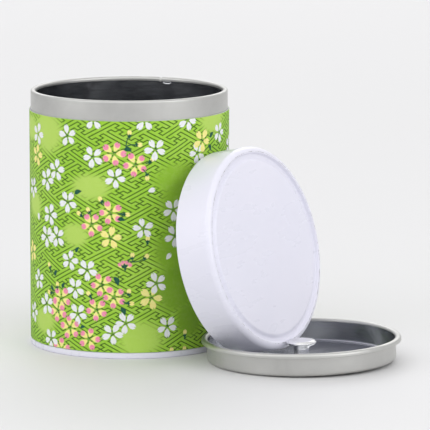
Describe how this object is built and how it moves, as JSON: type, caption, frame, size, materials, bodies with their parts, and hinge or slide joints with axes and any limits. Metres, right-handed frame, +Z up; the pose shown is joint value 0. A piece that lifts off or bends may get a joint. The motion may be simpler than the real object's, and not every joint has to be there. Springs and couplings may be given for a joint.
{
  "type": "tea caddy",
  "caption": "Round double-walled tin tea caddy wrapped in patterned paper, shown open with its plug inner lid and its cap outer lid beside it.",
  "frame": {"origin": "on the table, under the middle of the box around the can and its two lids", "axes": "+Z up along the can's axis, +X from the can towards the lids, +Y away from the viewer"},
  "size_m": [0.1472, 0.1208, 0.1022],
  "materials": {
    "painted_tin": "smooth satin off-white lacquer",
    "bare_tin": "bare tinplate, soft reflections",
    "washi": "matt printed handmade paper, green with a key-fret ground and small blossoms",
    "polished_metal": "polished",
    "rivet_metal": "plain pressed head"
  },
  "bodies": {
    "can": {"bottom_end": "painted_tin", "outer_shell": "painted_tin", "washi_wrap": "washi", "inner_sleeve": "bare_tin"},
    "inner_lid": {"inner_lid_dish": "bare_tin", "knob": "polished_metal", "knob_rivet": "rivet_metal"},
    "outer_lid": {"outer_lid": "painted_tin"}
  },
  "joints": [
    {"name": "inner_lid_lift", "type": "slide", "parent": "can", "child": "inner_lid", "axis": [0, 0, 1], "range_m": [0, 0.12]},
    {"name": "outer_lid_lift", "type": "slide", "parent": "inner_lid", "child": "outer_lid", "axis": [0, 0, 1], "range_m": [0, 0.12]}
  ]
}
